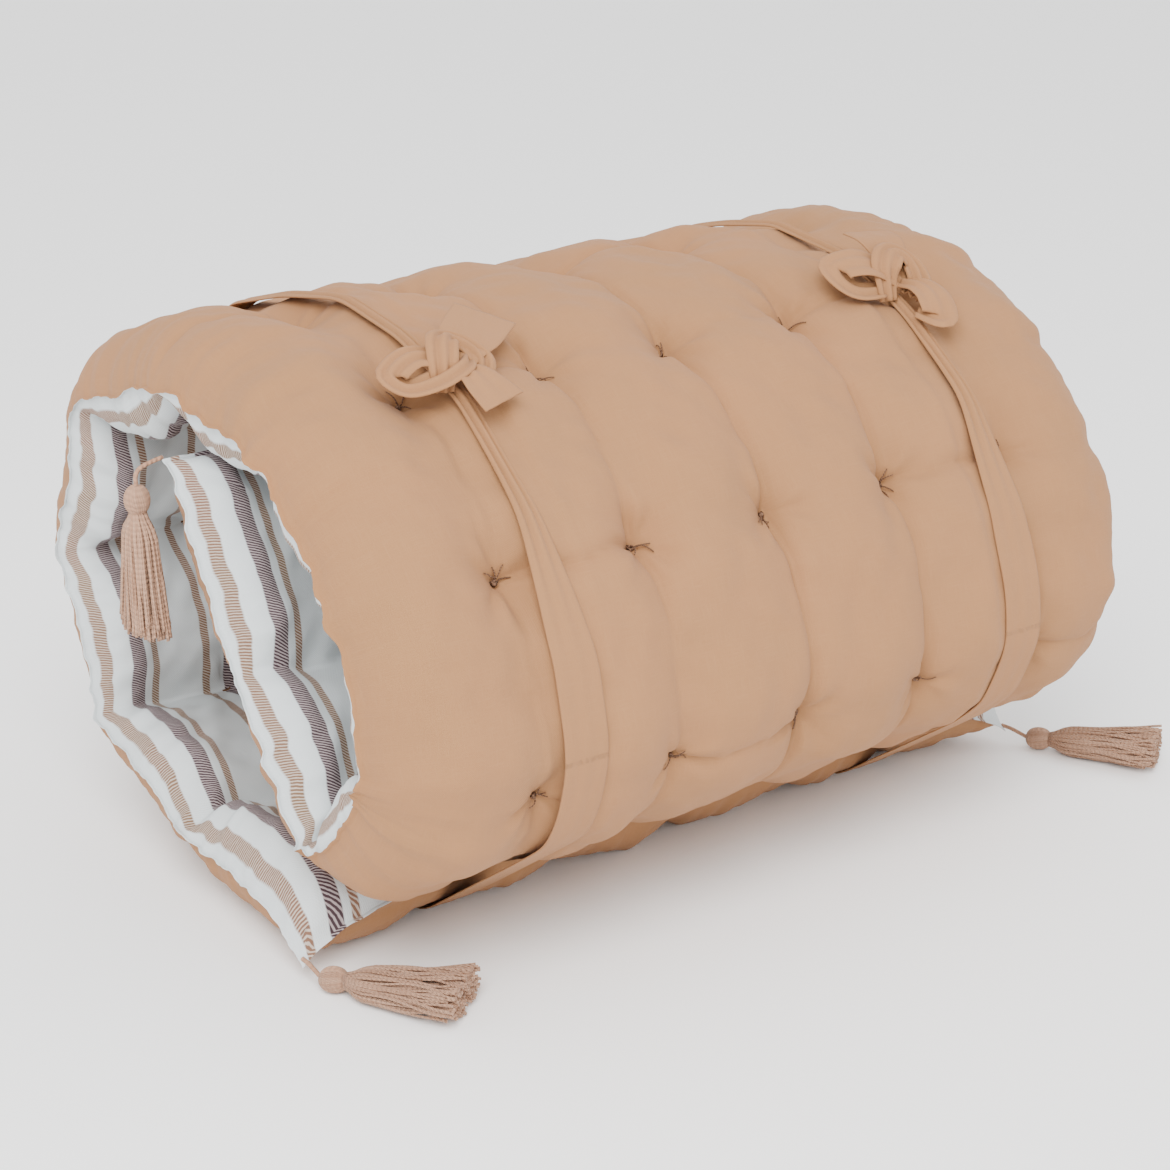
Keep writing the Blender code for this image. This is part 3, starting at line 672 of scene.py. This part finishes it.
for tag, sign in (("left", -1), ("right", 1)):
    x = sign * TIE_X
    loop, tangent, normal, total = tie_loop(x)
    knot = knot_frame(tag)
    at = int(np.argmin(np.hypot(*(loop - knot[1:]).T)))
    # steps along the loop from the knot, positive down the front (the front lies towards -Y)
    step = total / len(loop)
    front = 1 if tangent[at, 0] < 0 else -1
    away = ((np.arange(len(loop)) - at) * front) % len(loop) * step
    away = np.where(away > total / 2, away - total, away)
    ahead = smooth((away - 0.07) / 0.17)
    behind = smooth((-away - 0.12) / 0.25)
    width = np.where(away > 0, 0.013 + 0.023 * ahead, 0.013 + 0.015 * behind)
    folds = 0.0058 * (1 - width / 0.040)
    three = np.concatenate((np.full((len(loop), 1), x), loop), 1)
    out = np.concatenate((np.zeros((len(loop), 1)), normal), 1)
    three = three + out * 0.0010
    three[:, 2] = np.maximum(three[:, 2], 0.0010)
    sideways = np.tile((1.0, 0.0, 0.0), (len(loop), 1))
    lift = np.full(len(loop), 0.0004)
    flat_part = three[:, 2] < 0.004
    tie = band(f"tie_band_{tag}", three, sideways, out, width, np.where(flat_part, 0, folds),
               np.where(flat_part, 0, lift), closed=True)
    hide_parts(f"tie_{tag}")
    gone_slack(tie)

    # the knot's ribbons, in the frame of the tie under it
    down = np.array([0.0, *(tangent[at] * front)])
    rise = np.array([0.0, *normal[at]])
    centre = np.array([x, *loop[at]])
    ahead_axis = np.array([1.0, 0.0, 0.0])
    names = []
    for label, points, widths, pleats in KNOT_RIBBONS[tag]:
        local = curve_through(points, 44)
        wide = curve_through(np.array(widths)[:, None], 44)[:, 0]
        path = centre + local[:, :1] * ahead_axis + local[:, 1:2] * down + local[:, 2:] * rise
        along_path = np.gradient(path, axis=0)
        along_path /= np.linalg.norm(along_path, axis=1, keepdims=True)
        side_axis = np.cross(rise, along_path)
        side_axis /= np.linalg.norm(side_axis, axis=1, keepdims=True) + 1e-9
        up_axis = np.cross(along_path, side_axis)
        gathered = pleats * (1 - np.clip(wide / 0.040, 0, 1)) + 0.0004
        piece = band(f"knot_{label}_{tag}", path, side_axis, up_axis, wide, gathered, np.zeros(len(path)))
        if not names:
            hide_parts(f"tie_knot_{tag}")
        names.append(piece)
        gone_slack(piece)


# Tassels

def tassel(tag, body, cord_body, strands=330):
    """A head with a bound neck, and a skirt of hanging strands, in place of the CAD's solids.

    Strand i leaves the neck at angle a and share p of its radius and runs to
    (p W(v) cos a, p T(v) sin a, -L v), where W and T widen from the neck to the cut ends.
    """
    boxes = {part: [np.array(c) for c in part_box(f"tassel_{part}_{tag}")] for part in ("head", "skirt")}
    head = sum(boxes["head"]) / 2
    skirt = sum(boxes["skirt"]) / 2
    axis = skirt - head
    axis /= np.linalg.norm(axis)
    lying = axis[2] > -0.7
    across = np.cross(axis, (0, 0, 1)) if lying else np.array([0.0, 1.0, 0.0])
    across /= np.linalg.norm(across)
    thick = np.cross(axis, across)
    place = lambda local: head + local @ np.stack((across, thick, axis))
    seed = sum(map(ord, tag))
    own = np.random.default_rng(seed)
    half = 0.0101

    # strands
    v = np.linspace(0, 1, 14)[None, :]
    a = own.uniform(0, 2 * math.pi, (strands, 1))
    p = np.sqrt(own.uniform(0.12, 1.0, (strands, 1)))
    length = 0.093 - 0.012 * own.uniform(0, 1, (strands, 1)) ** 2
    open_up = smooth(v / 0.22)
    wide = 0.0050 + (0.0155 - 0.0050) * open_up + (0.0285 - 0.0155) * v ** 1.15
    deep = 0.0050 + (0.0100 - 0.0050) * open_up + (0.0128 - 0.0100) * v
    sway = 0.0024 * v * np.sin(2 * math.pi * (v * own.uniform(0.5, 1.6, (strands, 1)) + own.uniform(0, 1, (strands, 1))))
    drift = own.normal(0, 0.0022, (strands, 1)) * v ** 1.5
    local = np.stack((p * wide * np.cos(a) + sway + drift,
                      p * deep * np.sin(a) + 0.6 * sway,
                      half * 0.72 + length * v + 0 * a), -1)
    paths = place(local.reshape(-1, 3)).reshape(local.shape)
    if lying:
        paths[..., 2] = np.maximum(paths[..., 2], 0.0011)
    radii = np.full(paths.shape[:2], 0.00095) * own.uniform(0.85, 1.15, (strands, 1))
    radii[:, -1] *= 1.25
    skirt_piece = tubes(f"tassel_fringe_{tag}", paths, radii, 5, YARN, "tassel_yarn")
    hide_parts(f"tassel_skirt_{tag}")
    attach(skirt_piece, body)

    # head: meridian strands side by side over a ball
    count = 34
    turn = np.arange(count)[:, None] * 2 * math.pi / count
    t = np.linspace(0.10, math.pi * 0.90, 20)[None, :]
    radius = 0.0086 * np.sin(t) ** 0.8
    twist = 0.20 * np.cos(t)
    ball = np.stack((radius * np.cos(turn + twist), radius * np.sin(turn + twist), -half * np.cos(t) + 0 * turn), -1)
    head_piece = tubes(f"tassel_ball_{tag}", place(ball.reshape(-1, 3)).reshape(ball.shape),
                       np.full(ball.shape[:2], 0.00105), 6, YARN, "tassel_yarn", 0.4)
    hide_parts(f"tassel_head_{tag}")
    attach(head_piece, body)

    # the solid core under the head's strands, and the binding round the neck
    u, w = np.meshgrid(np.linspace(0, math.pi, 14), np.arange(24) * 2 * math.pi / 24, indexing="ij")
    core = np.stack((0.0084 * np.sin(u) ** 0.8 * np.cos(w), 0.0084 * np.sin(u) ** 0.8 * np.sin(w), -half * 0.98 * np.cos(u)), -1)
    core_piece = mesh_object(f"tassel_core_{tag}", place(core.reshape(-1, 3)), grid_faces(14, 24, wrap=True),
                             np.stack((w, u * 0.01), -1).reshape(-1, 2), "strand")
    dress(core_piece, YARN, "tassel_yarn")
    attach(core_piece, body)
    b = np.linspace(0, 2 * math.pi * 3.4, 90)
    bound = np.stack((0.0052 * np.cos(b), 0.0052 * np.sin(b), half * 0.80 + 0.0036 * b / b[-1]), -1)
    neck = tubes(f"tassel_binding_{tag}", place(bound)[None], np.full((1, 90), 0.00085), 7, YARN, "tassel_yarn")
    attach(neck, body)

    # cord from the pad's corner to the top of the head
    sign = -1 if "left" in tag else 1
    corner = np.array([sign * HALF, *(TIP[1:] if "inner" in tag else TAIL[1:])])
    top = head - axis * half * 0.95
    low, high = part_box(f"tassel_cord_{tag}")
    middle = np.array([(m + n) / 2 for m, n in zip(low, high)])
    if "inner" in tag:
        route = [corner + (-sign * 0.006, 0, 0.004), corner + (sign * 0.004, 0, 0.002),
                 corner + (sign * 0.0125, 0, -0.001), corner + (sign * 0.016, 0, -0.006), top]
    else:
        start = cover_points(np.array([sign * (HALF - 0.002)]), np.array([0.004]), 1)[0]
        route = [start, start * 0.6 + top * 0.4 + (0, 0, 0.001), top]
    line = curve_through(route, 26)
    cord = tubes(f"tassel_cord_{tag}.yarn", line[None], np.full((1, 26), 0.0017), 8, YARN, "tassel_yarn", 0.8)
    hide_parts(f"tassel_cord_{tag}")
    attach(cord, cord_body)
    return middle


for side in ("left", "right"):
    tassel(f"tail_{side}", f"tail_tassel_{side}", f"tail_tassel_{side}")
    tassel(f"inner_{side}", f"inner_tassel_{side}", f"inner_tassel_cord_{side}")


# Floor, light and camera

def plain_material(name, colour, roughness):
    made = bpy.data.materials.new(name)
    made.use_nodes = True
    shader = made.node_tree.nodes["Principled BSDF"]
    shader.inputs["Base Color"].default_value = (*colour, 1)
    shader.inputs["Roughness"].default_value = roughness
    return made


def studio():
    """A pale floor that turns up behind into a wall, as one swept surface."""
    u = np.linspace(0, 1, 60)
    y = np.where(u < 0.6, -8 + 22 * u, 5.2 + 2 * np.sin((u - 0.6) / 0.4 * math.pi / 2))
    z = np.where(u < 0.6, 0.0, 2 * (1 - np.cos((u - 0.6) / 0.4 * math.pi / 2)) * 4)
    x = np.linspace(-12, 12, 2)
    co = np.stack(np.broadcast_arrays(x[None, :], y[:, None], z[:, None]), -1).reshape(-1, 3)
    floor = mesh_object("studio_floor", co, grid_faces(60, 2))
    floor.data.materials.append(plain_material("pale_floor", (0.97, 0.97, 0.97), 0.9))


def area_light(name, place, target, size, power):
    data = bpy.data.lights.new(name, "AREA")
    data.shape = "DISK"
    data.size = size
    data.energy = power
    light = bpy.data.objects.new(name, data)
    bpy.context.scene.collection.objects.link(light)
    from mathutils import Vector
    light.location = place
    light.rotation_euler = (Vector(target) - Vector(place)).to_track_quat("-Z", "Y").to_euler()


studio()
world = bpy.data.worlds.new("soft_room")
bpy.context.scene.world = world
world.use_nodes = True
world.node_tree.nodes["Background"].inputs[0].default_value = (1, 1, 1, 1)
world.node_tree.nodes["Background"].inputs[1].default_value = 1.70
area_light("key", (-1.6, -1.8, 2.6), (0, 0, 0.2), 2.2, 150)
area_light("fill", (2.6, -1.6, 1.4), (0, 0, 0.2), 2.5, 16)

AZIMUTH, ELEVATION, ROLL = math.radians(-36.39), math.radians(20.83), 0.0
camera_data = bpy.data.cameras.new("camera")
camera_data.lens = 80.1
camera_data.shift_x = 0.004
camera_data.shift_y = 0.006
camera_data.sensor_width = 36.0
camera = bpy.data.objects.new("camera", camera_data)
bpy.context.scene.collection.objects.link(camera)
camera.location = (-1.1532, -1.5110, 0.9145)
camera.rotation_euler = (math.pi / 2 - ELEVATION, ROLL, AZIMUTH)
bpy.context.scene.camera = camera
